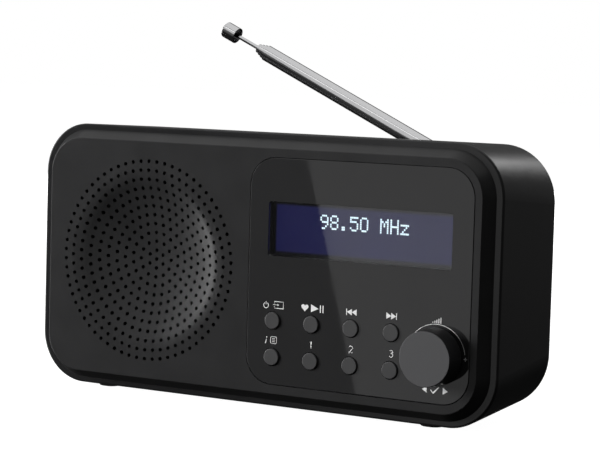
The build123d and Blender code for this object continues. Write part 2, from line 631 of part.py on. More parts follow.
with BuildPart() as earphone_jack:
    block_at(JACK_X, SOCKET_Z, 9.0, 9.0, SOCKET_BOARD_BACK, COVER_FRONT - 0.1, 0.6)
    cylinder_at(JACK_X, SOCKET_Z, 4.0, COVER_FRONT - 0.2, BODY_D - 0.1)
    fillet(earphone_jack.faces().sort_by(Axis.Y)[-1].edges(), 0.3)
    cylinder_at(JACK_X, SOCKET_Z, JACK_BORE_R, BODY_D - 0.1 - JACK_BORE_L, BODY_D + 1,
                mode=Mode.SUBTRACT)
save(earphone_jack, "earphone_jack")

with BuildPart() as usb_socket:
    block_at(USB_X, SOCKET_Z, 10.0, 7.0, SOCKET_BOARD_BACK, 31.0, 0.4)
    block_at(USB_X, SOCKET_Z, 9.0, 3.2, 30.5, BODY_D - 0.2, 1.55)
    block_at(USB_X, SOCKET_Z, 8.4, 2.6, 32.0, BODY_D, 1.25, mode=Mode.SUBTRACT)
    block_at(USB_X, SOCKET_Z, 6.7, 0.7, 31.5, BODY_D - 0.7)
save(usb_socket, "usb_socket")

# ---- aerial ------------------------------------------------------------------------------
# Local frame at the pivot: local x runs along the aerial, local y towards the back and local z
# along the tilt pin.
angle = math.radians(AERIAL_ANGLE)
ALONG = Vector(-math.cos(angle), 0, math.sin(angle))
PIN_AXIS = ALONG.cross(Vector(0, 1, 0))
pivot = Vector(*at(PIVOT_X, AERIAL_DEPTH, PIVOT_Z))


def side_plane(offset=0.0):
    """Plane square to the tilt pin; local x runs along the aerial and local y to the back."""
    return Plane(origin=pivot + PIN_AXIS * offset, x_dir=ALONG, z_dir=PIN_AXIS)


def rod_plane(distance):
    """Plane square to the aerial at this distance from the pivot."""
    return Plane(origin=pivot + ALONG * distance, x_dir=PIN_AXIS, z_dir=ALONG)


def rod_section(radius, start, end, mode=Mode.ADD):
    """Round bar along the aerial between two distances from the pivot."""
    with BuildSketch(rod_plane(start)) as outline:
        Circle(radius)
    extrude(outline.sketch, amount=end - start, mode=mode)


TONGUE_T = 3.0
CHEEK_GAP = 0.1
CHEEK_T = 1.0
SWIVEL_TOP = 40.9
PIN_R = 0.8
STUD_R = 2.0

with BuildPart() as aerial_swivel:
    cylinder_at(PIVOT_X, PIVOT_Z, STUD_R, COVER_FRONT - 2.6, BODY_D + 0.05)
    cylinder_at(PIVOT_X, PIVOT_Z, 4.8, BODY_D + 0.05, SWIVEL_TOP)
    for side in (-1, 1):
        inner = TONGUE_T / 2 + CHEEK_GAP
        start = inner if side > 0 else -inner - CHEEK_T
        with BuildSketch(side_plane(start)):
            with Locations((0, (SWIVEL_TOP - 0.3 - AERIAL_DEPTH) / 2)):
                Rectangle(5.2, AERIAL_DEPTH - SWIVEL_TOP + 0.3)
            Circle(AERIAL_REAR - AERIAL_DEPTH)
        extrude(amount=CHEEK_T)
    with BuildSketch(side_plane(-5)):
        Circle(PIN_R + 0.03)
    extrude(amount=10, mode=Mode.SUBTRACT)
save(aerial_swivel, "aerial_swivel")

with BuildPart() as aerial_nut:
    cylinder_at(PIVOT_X, PIVOT_Z, 4.2, COVER_FRONT - 1.6, COVER_FRONT - 0.05)
    cylinder_at(PIVOT_X, PIVOT_Z, STUD_R, COVER_FRONT - 2, COVER_FRONT, mode=Mode.SUBTRACT)
save(aerial_nut, "aerial_nut")

with BuildPart() as aerial_pin:
    with BuildSketch(side_plane(-2.9)):
        Circle(PIN_R)
    extrude(amount=5.8)
save(aerial_pin, "aerial_pin")

with BuildPart() as aerial_foot:
    with BuildSketch(side_plane(-TONGUE_T / 2)):
        Circle(2.15)
        with Locations((2.6, 0)):
            Rectangle(5.2, 4.3)
        Circle(PIN_R + 0.03, mode=Mode.SUBTRACT)
    extrude(amount=TONGUE_T)
    rod_section(TUBE_R - TUBE_WALL, TUBE_START - 0.8, TUBE_START + 3.0)
    rod_section(TUBE_R, TUBE_START - 0.6, TUBE_START)
save(aerial_foot, "aerial_foot")

with BuildPart() as aerial_tube:
    rod_section(TUBE_R, TUBE_START, TUBE_END)
    rod_section(TUBE_R - TUBE_WALL, TUBE_START, TUBE_END, mode=Mode.SUBTRACT)
save(aerial_tube, "aerial_section_1")

# three thinner sections, each a running fit in the one outside it
SECTION_STEP = 0.35
SECTION_SHOWS = 1.07
for number in (2, 3, 4):
    nested = number - 1
    outer = TUBE_R - SECTION_STEP * nested
    section_end = TUBE_END + SECTION_SHOWS * nested
    with BuildPart() as section:
        rod_section(outer, TUBE_START + 3.5 + nested, section_end)
        rod_section(outer - TUBE_WALL, TUBE_START + 3.5 + nested, section_end, mode=Mode.SUBTRACT)
    save(section, f"aerial_section_{number}")

ROD_R = 0.6
TIP_START = 89.7
TIP_END = 94.3
TIP_FLOOR = 1.4
with BuildPart() as aerial_rod:
    rod_section(TUBE_R - 4 * SECTION_STEP, TUBE_START + 16.0, TUBE_START + 24.0)
    rod_section(ROD_R, TUBE_START + 23.0, TIP_END - TIP_FLOOR)
save(aerial_rod, "aerial_rod")

with BuildPart() as aerial_tip:
    rod_section(2.5, TIP_START, TIP_END)
    fillet(aerial_tip.faces().sort_by(Axis.X)[0].edges(), 0.35)
    rod_section(2.15, TIP_START, TIP_END - TIP_FLOOR, mode=Mode.SUBTRACT)
save(aerial_tip, "aerial_tip")

# ---- wires -------------------------------------------------------------------------------
WIRE_R = 0.5


def wire(points, bend):
    """Round wire through these points, with one bend radius at every corner."""
    with BuildLine() as path:
        FilletPolyline(*points, radius=bend)
    with BuildSketch(Plane(origin=path.line @ 0, z_dir=path.line % 0)) as round_end:
        Circle(WIRE_R)
    sweep(round_end.sketch, path=path.line)


with BuildPart() as speaker_leads:
    for z in (-1.2, 1.2):
        wire([at(-20.7, 20.9, z), at(-12.0, 20.9, z), at(-0.5, 17.6, z), at(-0.5, BOARD_BACK, z)], 3.0)
save(speaker_leads, "speaker_leads")

with BuildPart() as aerial_lead:
    wire([at(PIVOT_X - 4.2, COVER_FRONT - 0.8, PIVOT_Z), at(36.0, COVER_FRONT - 0.8, PIVOT_Z),
          at(36.0, BOARD_BACK, PIVOT_Z)], 5.0)
save(aerial_lead, "aerial_lead")
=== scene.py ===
"""Looks of the tabletop radio: studio set, procedural materials, printed symbols and display text."""
import math

import bmesh
import bpy
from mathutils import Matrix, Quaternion, Vector


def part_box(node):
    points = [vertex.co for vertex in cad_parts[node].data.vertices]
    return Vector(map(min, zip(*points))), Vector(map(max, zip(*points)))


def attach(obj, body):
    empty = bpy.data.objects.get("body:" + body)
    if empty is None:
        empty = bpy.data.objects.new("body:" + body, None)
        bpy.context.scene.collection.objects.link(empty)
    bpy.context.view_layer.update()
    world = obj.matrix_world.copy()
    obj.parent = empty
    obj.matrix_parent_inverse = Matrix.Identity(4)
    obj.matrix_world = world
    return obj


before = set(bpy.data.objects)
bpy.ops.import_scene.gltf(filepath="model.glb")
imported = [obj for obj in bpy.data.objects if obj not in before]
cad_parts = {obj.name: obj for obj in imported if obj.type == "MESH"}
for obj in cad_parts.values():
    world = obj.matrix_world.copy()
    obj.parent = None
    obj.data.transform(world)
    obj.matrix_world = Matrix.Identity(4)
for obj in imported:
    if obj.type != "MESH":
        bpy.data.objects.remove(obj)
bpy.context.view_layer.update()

MM = 0.001
FACE_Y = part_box("control_panel")[0].y
AXIS_Z = sum(corner.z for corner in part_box("cabinet")) / 2


def at(x, depth, z):
    """Point of the radio in metres: x and z on the front in mm, depth in mm behind the raised face."""
    return Vector((x * MM, FACE_Y + depth * MM, AXIS_Z + z * MM))


def middle(node):
    """Centre of a CAD node's box as x and z on the front, in mm."""
    low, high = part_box(node)
    centre = (low + high) / 2
    return centre.x / MM, (centre.z - AXIS_Z) / MM


# ---- camera ------------------------------------------------------------------------------
CAMERA_AZIMUTH = 29.94
CAMERA_ELEVATION = 4.687
CAMERA_ROLL = 1.667
CAMERA_DISTANCE = 0.575
CAMERA_LENS = 124.53
CAMERA_TARGET = at(19.1, -6.6, 14.45)


def direction(azimuth, elevation):
    """Unit vector from the object towards a place at this azimuth and elevation, in degrees."""
    a = math.radians(azimuth)
    e = math.radians(elevation)
    return Vector((math.sin(a) * math.cos(e), -math.cos(a) * math.cos(e), math.sin(e)))


def link(thing):
    bpy.context.scene.collection.objects.link(thing)
    return thing


def make_camera():
    data = bpy.data.cameras.new("camera")
    data.lens = CAMERA_LENS
    data.sensor_width = 36.0
    data.clip_start = 0.01
    data.clip_end = 50.0
    camera = link(bpy.data.objects.new("camera", data))
    back = direction(CAMERA_AZIMUTH, CAMERA_ELEVATION)
    roll = Quaternion((0, 0, 1), math.radians(CAMERA_ROLL))
    camera.location = CAMERA_TARGET + back * CAMERA_DISTANCE
    camera.rotation_mode = "QUATERNION"
    camera.rotation_quaternion = (-back).to_track_quat("-Z", "Y") @ roll
    bpy.context.scene.camera = camera


# ---- studio ------------------------------------------------------------------------------
FLOOR_HALF = 4.0
FLOOR_GLOW = 0.985
FLOOR_ALBEDO = 0.2
ROOM_LIGHT = 0.10
ROOM_DARK_BELOW = -0.25
ROOM_FULL_ABOVE = 0.05
ROOM_DARK = 0.12
CARD_LIGHT = 0.60
CARD_GAP = 250.0
CARD_TOP = (-251.2, 478.0)
CARD_FOOT = (-92.0, -107.0)
CARD_RIGHT = 40.0

# Softboxes that face the radio: name, azimuth and elevation in degrees, distance in metres,
# width and height in metres, power in watts, lights matt surfaces, shows in glossy ones.
LIGHTS = (
    ("key_light", -62.0, 11.0, 1.0, (0.4, 0.4), 19.0, True, False),
    ("streak_light", -78.0, 2.0, 1.0, (0.20, 0.9), 3.2, False, True),
    ("line_light", -4.0, 54.0, 0.347, (0.5, 0.018), 0.035, False, True),
    ("rear_light", 206.0, 14.0, 1.0, (0.8, 0.6), 24.0, True, False),
    ("top_light", 180.0, 82.0, 1.0, (2.0, 1.6), 6.0, True, True),
    ("back_light", 161.0, 30.0, 1.0, (0.45, 0.25), 1.3, True, True),
)


def make_world():
    """White for the camera; for everything else a dim room that darkens below the horizon."""
    world = bpy.data.worlds.new("studio")
    bpy.context.scene.world = world
    world.use_nodes = True
    tree = world.node_tree
    shown = tree.nodes["Background"]
    shown.inputs["Color"].default_value = (1.0, 1.0, 1.0, 1.0)
    shown.inputs["Strength"].default_value = 1.0
    lit = tree.nodes.new("ShaderNodeBackground")
    lit.inputs["Strength"].default_value = ROOM_LIGHT
    place = tree.nodes.new("ShaderNodeTexCoord")
    split = tree.nodes.new("ShaderNodeSeparateXYZ")
    tree.links.new(place.outputs["Generated"], split.inputs["Vector"])
    rise = tree.nodes.new("ShaderNodeMapRange")
    rise.inputs["From Min"].default_value = ROOM_DARK_BELOW
    rise.inputs["From Max"].default_value = ROOM_FULL_ABOVE
    rise.inputs["To Min"].default_value = ROOM_DARK
    tree.links.new(split.outputs["Z"], rise.inputs["Value"])
    tree.links.new(rise.outputs["Result"], lit.inputs["Color"])
    path = tree.nodes.new("ShaderNodeLightPath")
    mix = tree.nodes.new("ShaderNodeMixShader")
    tree.links.new(path.outputs["Is Camera Ray"], mix.inputs["Fac"])
    tree.links.new(lit.outputs["Background"], mix.inputs[1])
    tree.links.new(shown.outputs["Background"], mix.inputs[2])
    tree.links.new(mix.outputs["Shader"], tree.nodes["World Output"].inputs["Surface"])


def flat_mesh(name, corners):
    mesh = bpy.data.meshes.new(name)
    mesh.from_pydata([tuple(c) for c in corners], [], [tuple(range(len(corners)))])
    return link(bpy.data.objects.new(name, mesh))


def glow_material(name, strength, albedo):
    material = bpy.data.materials.new(name)
    material.use_nodes = True
    shader = material.node_tree.nodes["Principled BSDF"]
    shader.inputs["Base Color"].default_value = (albedo, albedo, albedo, 1.0)
    shader.inputs["Roughness"].default_value = 0.9
    shader.inputs["Specular IOR Level"].default_value = 0.0
    shader.inputs["Emission Color"].default_value = (1.0, 1.0, 1.0, 1.0)
    shader.inputs["Emission Strength"].default_value = strength
    return material


def make_floor():
    """Pale floor that only the camera sees, so the radio mirrors none of it."""
    corners = [(-FLOOR_HALF, -FLOOR_HALF, 0), (FLOOR_HALF, -FLOOR_HALF, 0)]
    corners += [(FLOOR_HALF, FLOOR_HALF, 0), (-FLOOR_HALF, FLOOR_HALF, 0)]
    floor = flat_mesh("floor", corners)
    floor.data.materials.append(glow_material("floor_white", FLOOR_GLOW, FLOOR_ALBEDO))
    floor.visible_diffuse = False
    floor.visible_glossy = False
    floor.visible_transmission = False


def make_reflection_card():
    """White card that only the glossy panel and window mirror; its slanted left edge crosses them."""
    corners = [at(CARD_FOOT[0], -CARD_GAP, CARD_FOOT[1]), at(CARD_RIGHT, -CARD_GAP, CARD_FOOT[1])]
    corners += [at(CARD_RIGHT, -CARD_GAP, CARD_TOP[1]), at(CARD_TOP[0], -CARD_GAP, CARD_TOP[1])]
    card = flat_mesh("reflection_card", corners)
    card.data.materials.append(glow_material("card_white", CARD_LIGHT, 0.0))
    card.visible_camera = False
    card.visible_diffuse = False
    card.visible_shadow = False


def make_light(name, azimuth, elevation, distance, size, power, matt, glossy):
    """Rectangular softbox that faces the middle of the radio."""
    target = at(0, 20, 0)
    place = target + direction(azimuth, elevation) * distance
    data = bpy.data.lights.new(name, "AREA")
    data.shape = "RECTANGLE"
    data.size, data.size_y = size
    data.energy = power
    light = link(bpy.data.objects.new(name, data))
    light.location = place
    light.rotation_mode = "QUATERNION"
    light.rotation_quaternion = (target - place).to_track_quat("-Z", "Y")
    light.visible_camera = False
    light.visible_diffuse = matt
    light.visible_glossy = glossy


def make_studio():
    make_world()
    make_floor()
    make_reflection_card()
    for light in LIGHTS:
        make_light(*light)
    bpy.context.scene.view_settings.view_transform = "Standard"


# ---- materials ---------------------------------------------------------------------------
class Look:
    """A Principled material, with nodes in object coordinates that vary its colour and surface."""

    def __init__(self, name, colour, roughness, **sockets):
        self.material = bpy.data.materials.new(name)
        self.material.use_nodes = True
        self.tree = self.material.node_tree
        self.shader = self.tree.nodes["Principled BSDF"]
        self.place = self.node("ShaderNodeTexCoord").outputs["Object"]
        self.relief = None
        self.shader.inputs["Base Color"].default_value = (*colour, 1.0)
        self.shader.inputs["Roughness"].default_value = roughness
        for socket, value in sockets.items():
            self.shader.inputs[socket.replace("_", " ")].default_value = value

    def node(self, kind, **settings):
        made = self.tree.nodes.new(kind)
        for name, value in settings.items():
            setattr(made, name, value)
        return made

    def wire(self, output, socket):
        self.tree.links.new(output, socket)

    def stretched(self, scale, turn=(0.0, 0.0, 0.0)):
        """Object coordinates turned by these angles, then scaled along each axis."""
        turned = self.node("ShaderNodeVectorRotate", rotation_type="EULER_XYZ")
        turned.inputs["Rotation"].default_value = [math.radians(angle) for angle in turn]
        self.wire(self.place, turned.inputs["Vector"])
        scaled = self.node("ShaderNodeVectorMath", operation="MULTIPLY")
        scaled.inputs[1].default_value = scale
        self.wire(turned.outputs["Vector"], scaled.inputs[0])
        return scaled.outputs["Vector"]

    def noise(self, size_mm, detail=3.0, place=None):
        """Cloudy pattern from 0 to 1 whose patches are about size_mm across."""
        made = self.node("ShaderNodeTexNoise")
        made.inputs["Scale"].default_value = 1.0 / (size_mm * MM)
        made.inputs["Detail"].default_value = detail
        self.wire(place or self.place, made.inputs["Vector"])
        return made.outputs["Fac"]

    def cells(self, size_mm, feature="F1"):
        """Cell pattern whose cells are about size_mm across."""
        made = self.node("ShaderNodeTexVoronoi", feature=feature)
        made.inputs["Scale"].default_value = 1.0 / (size_mm * MM)
        self.wire(self.place, made.inputs["Vector"])
        return made.outputs["Distance"]

    def waves(self, size_mm, axis="X", place=None, distortion=0.0):
        """Straight bands from 0 to 1, size_mm apart, across an axis."""
        made = self.node("ShaderNodeTexWave", wave_type="BANDS", bands_direction=axis)
        made.inputs["Scale"].default_value = math.pi / 10 / (size_mm * MM)
        made.inputs["Distortion"].default_value = distortion
        self.wire(place or self.place, made.inputs["Vector"])
        return made.outputs["Fac"]

    def between(self, pattern, low, high, from_low=0.3, from_high=0.7):
        """The pattern as a number that runs from low to high."""
        made = self.node("ShaderNodeMapRange")
        made.inputs["From Min"].default_value = from_low
        made.inputs["From Max"].default_value = from_high
        made.inputs["To Min"].default_value = low
        made.inputs["To Max"].default_value = high
        self.wire(pattern, made.inputs["Value"])
        return made.outputs["Result"]

    def blend(self, pattern, first, second, from_low=0.3, from_high=0.7):
        """Colour that runs from first to second with the pattern."""
        mix = self.node("ShaderNodeMix", data_type="RGBA")
        colours = [socket for socket in mix.inputs if socket.type == "RGBA"]
        colours[0].default_value = (*first, 1.0)
        colours[1].default_value = (*second, 1.0)
        self.wire(self.between(pattern, 0.0, 1.0, from_low, from_high), mix.inputs["Factor"])
        return [socket for socket in mix.outputs if socket.type == "RGBA"][0]

    def paint(self, pattern, first, second, from_low=0.3, from_high=0.7):
        """Base colour that runs from first to second with the pattern."""
        blended = self.blend(pattern, first, second, from_low, from_high)
        self.wire(blended, self.shader.inputs["Base Color"])

    def glow(self, pattern, first, second):
        """Emitted colour that runs from first to second with the pattern."""
        self.wire(self.blend(pattern, first, second), self.shader.inputs["Emission Color"])

    def polish(self, pattern, low, high):
        """Roughness that runs from low to high with the pattern."""
        self.wire(self.between(pattern, low, high), self.shader.inputs["Roughness"])

    def bump(self, pattern, height_mm):
        """Surface relief of this height from the pattern, on top of any earlier relief."""
        made = self.node("ShaderNodeBump")
        made.inputs["Distance"].default_value = height_mm * MM
        self.wire(pattern, made.inputs["Height"])
        if self.relief:
            self.wire(self.relief, made.inputs["Normal"])
        self.relief = made.outputs["Normal"]
        self.wire(self.relief, self.shader.inputs["Normal"])


def tint(colour, factor):
    return tuple(channel * factor for channel in colour)


def moulded(name, colour, roughness, grain_mm, height_mm):
    """Moulded plastic with a fine spark-eroded grain and slow changes in gloss."""
    look = Look(name, colour, roughness)
    look.paint(look.noise(9.0), tint(colour, 0.9), tint(colour, 1.1))
    look.polish(look.noise(16.0), roughness * 0.92, roughness * 1.08)
    look.bump(look.noise(grain_mm, detail=2.0), height_mm)
    return look


def brushed(name, colour, roughness, stretch, turn=(0.0, 0.0, 0.0)):
    """Metal with fine drawn lines along the axis that stretch makes long."""
    look = Look(name, colour, roughness, Metallic=1.0)
    lines = look.noise(0.25, place=look.stretched(stretch, turn))
    look.paint(lines, tint(colour, 0.92), tint(colour, 1.0))
    look.polish(lines, roughness * 0.75, roughness * 1.3)
    look.bump(lines, 0.0008)
    return look


def cabinet_plastic():
    return moulded("cabinet_plastic", (0.012, 0.012, 0.0125), 0.30, 0.22, 0.0010)


def front_plastic():
    look = moulded("front_plastic", (0.0235, 0.0235, 0.024), 0.34, 0.20, 0.003)
    look.shader.inputs["Specular IOR Level"].default_value = 0.25
    return look


def button_plastic():
    return moulded("button_plastic", (0.055, 0.055, 0.056), 0.36, 0.15, 0.002)


KNOB_FACE = (0.081, 0.081, 0.084)
# Darker colour for the knob's sides: painted shade.
KNOB_SIDE_SHADE = (0.016, 0.016, 0.017)


def knob_plastic():
    """Pale satin face; the sides, told apart by the normal, get a darker colour as painted shade."""
    look = moulded("knob_plastic", KNOB_FACE, 0.40, 0.15, 0.002)
    split = look.node("ShaderNodeSeparateXYZ")
    look.wire(look.node("ShaderNodeTexCoord").outputs["Normal"], split.inputs["Vector"])
    # Painted shade: the colour runs from the face colour to the dark side colour as the normal turns
    # away from the front.
    look.paint(split.outputs["Y"], KNOB_FACE, KNOB_SIDE_SHADE, -0.95, -0.6)
    return look


def panel_gloss():
    look = Look("panel_gloss", (0.0222, 0.0222, 0.0227), 0.03)
    look.paint(look.noise(12.0), (0.0215, 0.0215, 0.0220), (0.0230, 0.0230, 0.0235))
    look.polish(look.noise(5.0, detail=5.0), 0.015, 0.05)
    look.bump(look.noise(3.0, detail=1.0), 0.0004)
    return look


def window_clear():
    look = Look("window_clear", (0.93, 0.94, 0.96), 0.0, Transmission_Weight=1.0, IOR=1.49)
    look.polish(look.noise(6.0, detail=5.0), 0.0, 0.02)
    return look


# Dark border round the lit field, painted as the shade of the window's recess walls, in mm: left, right,
# top, foot.
SCREEN_SHADE_BORDER = (1.2, 0.8, 0.95, 1.2)
SCREEN_SHADE_BLUR = 0.3


def lcd_screen():
    """Dark glass whose backlight fills a field inside the window; the soft dark edge round the field is
    painted shade.
    """
    look = Look("lcd_screen", (0.012, 0.012, 0.014), 0.06)
    look.glow(look.noise(22.0), (0.0050, 0.0055, 0.042), (0.0075, 0.0080, 0.056))
    split = look.node("ShaderNodeSeparateXYZ")
    look.wire(look.place, split.inputs["Vector"])
    low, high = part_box("display_window")
    left, right, top, foot = [border * MM for border in SCREEN_SHADE_BORDER]
    edges = [("X", low.x + left, 1), ("X", high.x - right, -1)]
    edges += [("Z", low.z + foot, 1), ("Z", high.z - top, -1)]
    field = None
    for axis, edge, way in edges:
        half = way * SCREEN_SHADE_BLUR * MM
        inside = look.between(split.outputs[axis], 0.0, 1.0, edge - half, edge + half)
        if field:
            product = look.node("ShaderNodeMath", operation="MULTIPLY")
            look.wire(field, product.inputs[0])
            look.wire(inside, product.inputs[1])
            inside = product.outputs["Value"]
        field = inside
    # Painted shade: the glow fades to nothing in a blurred border along the window's edges.
    look.wire(field, look.shader.inputs["Emission Strength"])
    look.polish(look.waves(0.6, axis="Z"), 0.05, 0.08)
    return look


def display_glow():
    look = Look("display_glow", (0.1, 0.12, 0.15), 0.3)
    look.glow(look.noise(3.0), (0.68, 0.88, 0.98), (0.78, 0.95, 1.00))
    look.shader.inputs["Emission Strength"].default_value = 1.25
    return look


def print_white():
    look = Look("print_white", (0.85, 0.85, 0.85), 0.55)
    look.paint(look.noise(0.25), (0.80, 0.80, 0.80), (0.90, 0.90, 0.90))
    look.bump(look.noise(0.12), 0.002)
    return look


def rubber_foot():
    return moulded("rubber_foot", (0.012, 0.012, 0.012), 0.72, 0.30, 0.012)


def guide_white():
    return moulded("guide_white", (0.72, 0.74, 0.76), 0.25, 0.30, 0.002)


def inner_black():
    return moulded("inner_black", (0.010, 0.010, 0.011), 0.5, 0.25, 0.004)


def inner_white():
    return moulded("inner_white", (0.66, 0.66, 0.63), 0.45, 0.25, 0.003)


def contact_brass():
    return brushed("contact_brass", (0.80, 0.62, 0.30), 0.28, (0.1, 1.0, 1.0))


def steel_part():
    return brushed("steel_part", (0.62, 0.62, 0.63), 0.32, (0.08, 1.0, 1.0))


def shield_tin():
    return brushed("shield_tin", (0.70, 0.71, 0.70), 0.26, (1.0, 1.0, 0.08))


def black_screw():
    return moulded("black_screw", (0.020, 0.020, 0.022), 0.35, 0.2, 0.004)


def board_green():
    look = Look("board_green", (0.012, 0.085, 0.035), 0.35)
    look.paint(look.cells(2.2, "DISTANCE_TO_EDGE"), (0.020, 0.13, 0.05), (0.010, 0.07, 0.03), 0.08, 0.12)
    look.bump(look.noise(0.6), 0.01)
    return look


def capacitor_sleeve():
    return moulded("capacitor_sleeve", (0.012, 0.014, 0.05), 0.3, 0.4, 0.004)


def foam_grey():
    look = Look("foam_grey", (0.05, 0.05, 0.05), 0.95)
    # Painted shade: the foam is darker in the pits of the same cell pattern that gives its bump.
    look.paint(look.cells(0.7), (0.02, 0.02, 0.02), (0.07, 0.07, 0.07), 0.1, 0.6)
    look.bump(look.cells(0.7), 0.25)
    return look


def cone_paper():
    look = Look("cone_paper", (0.030, 0.029, 0.028), 0.85)
    fibres = look.noise(0.5, detail=6.0, place=look.stretched((1.0, 1.0, 0.25)))
    look.paint(fibres, (0.020, 0.020, 0.019), (0.045, 0.043, 0.040))
    look.bump(fibres, 0.05)
    return look


def copper_coil():
    look = Look("copper_coil", (0.75, 0.33, 0.16), 0.3, Metallic=1.0)
    turns_and_groove_shade = look.waves(0.3, axis="Y")
    # Painted shade: the copper is darker in the grooves between the turns.
    look.paint(turns_and_groove_shade, (0.45, 0.17, 0.08), (0.80, 0.36, 0.18))
    look.bump(turns_and_groove_shade, 0.08)
    return look


def magnet_ferrite():
    return moulded("magnet_ferrite", (0.035, 0.034, 0.036), 0.6, 0.5, 0.03)


def battery_sleeve():
    look = Look("battery_sleeve", (0.05, 0.22, 0.10), 0.25)
    look.paint(look.waves(24.0, axis="X"), (0.03, 0.16, 0.07), (0.10, 0.30, 0.12), 0.45, 0.55)
    look.bump(look.noise(3.0), 0.02)
    return look


def label_grey():
    look = Look("label_grey", (0.12, 0.12, 0.12), 0.4)
    look.paint(look.noise(0.6), (0.11, 0.11, 0.11), (0.14, 0.14, 0.14))
    look.bump(look.noise(0.5), 0.003)
    return look


def wire_red():
    look = Look("wire_red", (0.40, 0.02, 0.02), 0.4)
    look.paint(look.noise(1.5), (0.34, 0.015, 0.015), (0.45, 0.03, 0.03))
    look.bump(look.noise(0.4), 0.01)
    return look


AERIAL_LEAN = 25.05


def aerial_chrome():
    return brushed("aerial_chrome", (0.82, 0.82, 0.83), 0.10, (0.04, 1.0, 1.0), (0.0, AERIAL_LEAN, 0.0))


LOOKS = (
    cabinet_plastic, front_plastic, button_plastic, knob_plastic, panel_gloss, window_clear,
    lcd_screen, rubber_foot, guide_white, inner_black, inner_white, contact_brass, steel_part,
    shield_tin, black_screw, board_green, capacitor_sleeve, foam_grey, cone_paper, copper_coil,
    magnet_ferrite, battery_sleeve, label_grey, wire_red, aerial_chrome,
)


def dress_frame():
    """Gives every CAD node the look that has the name of its material slot."""
    made = {look.__name__: look().material for look in LOOKS}
    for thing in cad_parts.values():
        slot = thing.data.materials[0].name.split(".")[0]
        thing.data.materials[0] = made[slot]


# ---- printed symbols and display text ----------------------------------------------------
PRINT_THICK = 0.02
LINE = 0.20
SYMBOL_RISE = 4.75
DIGIT_RISE = 4.85
SYMBOL_SHIFT = 0.05
ARC_STEPS = 24


def arc(x, z, radius, start, end, steps=ARC_STEPS):
    """Points on an arc, with its angles in degrees from +X towards +Z."""
    angles = [math.radians(start + (end - start) * i / steps) for i in range(steps + 1)]
    return [(x + radius * math.cos(a), z + radius * math.sin(a)) for a in angles]


def stroke(points, width=LINE, closed=False):
    """Outlines of the four-sided pieces that draw a line of this width through the points."""
    count = len(points)
    sides = []
    for i, (x, z) in enumerate(points):
        before = points[(i - 1) % count] if closed or i > 0 else points[i]
        after = points[(i + 1) % count] if closed or i < count - 1 else points[i]
        along = Vector((after[0] - before[0], after[1] - before[1])).normalized()
        across = Vector((-along.y, along.x)) * width / 2
        if 0 < i < count - 1 or closed:
            first = Vector((x - before[0], z - before[1])).normalized()
            across /= max(0.5, abs(first.dot(along)))
        sides.append(((x + across.x, z + across.y), (x - across.x, z - across.y)))
    last = count if closed else count - 1
    return [[sides[i][0], sides[i][1], sides[(i + 1) % count][1], sides[(i + 1) % count][0]]
            for i in range(last)]


def triangle(x, z, size, way):
    """Outline of a solid triangle of this height, whose point faces +X (way 1) or -X (way -1)."""
    reach = way * size * 0.42
    return [(x - reach, z - size / 2), (x + reach, z), (x - reach, z + size / 2)]


def block(x, z, width, height):
    """Outline of an upright rectangle about its centre."""
    w, h = width / 2, height / 2
    return [(x - w, z - h), (x + w, z - h), (x + w, z + h), (x - w, z + h)]


def shifted(outlines, x, z):
    return [[(px + x, pz + z) for px, pz in outline] for outline in outlines]


def solid(name, outlines, depth, thick, material):
    """One piece on the case: each outline as a thin closed plate at this depth."""
    shape = bmesh.new()
    for outline in outlines:
        front = [shape.verts.new(at(x, depth - thick, z)) for x, z in outline]
        back = [shape.verts.new(at(x, depth, z)) for x, z in outline]
        shape.faces.new(front)
        shape.faces.new(list(reversed(back)))
        count = len(outline)
        for i in range(count):
            j = (i + 1) % count
            shape.faces.new([front[i], back[i], back[j], front[j]])
    bmesh.ops.remove_doubles(shape, verts=shape.verts, dist=1e-7)
    bmesh.ops.recalc_face_normals(shape, faces=shape.faces)
    mesh = bpy.data.meshes.new(name)
    shape.to_mesh(mesh)
    shape.free()
    piece = link(bpy.data.objects.new(name, mesh))
    piece.data.materials.append(material)
    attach(piece, "case")
    return piece


def power_symbol():
    """Broken ring with a bar at the top."""
    return stroke(arc(0, -0.1, 0.78, 125, 415)) + stroke([(0, 0.1), (0, 1.0)])


def input_symbol():
    """Arrow that enters an open box."""
    sides = [(-1.45, 0.4), (-1.45, 0.95), (1.45, 0.95), (1.45, -0.95), (-1.45, -0.95), (-1.45, -0.4)]
    box = stroke(sides, 0.14)
    arrow = stroke([(-1.9, 0), (-0.4, 0)], 0.15)
    return box + arrow + [[(-0.5, -0.34), (0.1, 0), (-0.5, 0.34)]]


def heart_symbol():
    """Solid heart, from the usual sine and cosine curve."""
    angles = [math.tau * i / 36 for i in range(36)]
    size = 1.15 / 16
    outline = []
    for a in angles:
        x = 16 * math.sin(a) ** 3
        z = 13 * math.cos(a) - 5 * math.cos(2 * a) - 2 * math.cos(3 * a) - math.cos(4 * a)
        outline.append((x * size, (z + 1) * size))
    return [outline]


def play_symbol():
    """Solid triangle and two bars."""
    sides = [(-2.15, -1.1), (0.25, 0.0), (-2.15, 1.1)]
    return [sides, block(0.85, 0, 0.3, 2.1), block(1.7, 0, 0.3, 2.1)]


def skip_symbol(way):
    """Two triangles that point one way, against a bar."""
    triangles = [triangle(way * x, 0, 1.85, way) for x in (-0.9, 0.6)]
    return triangles + [block(way * 1.5, 0, 0.26, 1.85)]


def info_symbol():
    """Slanted letter i."""
    return stroke([(-0.15, -0.95), (0.15, 0.35)], 0.22) + [arc(0.25, 0.9, 0.17, 0, 345, 12)]


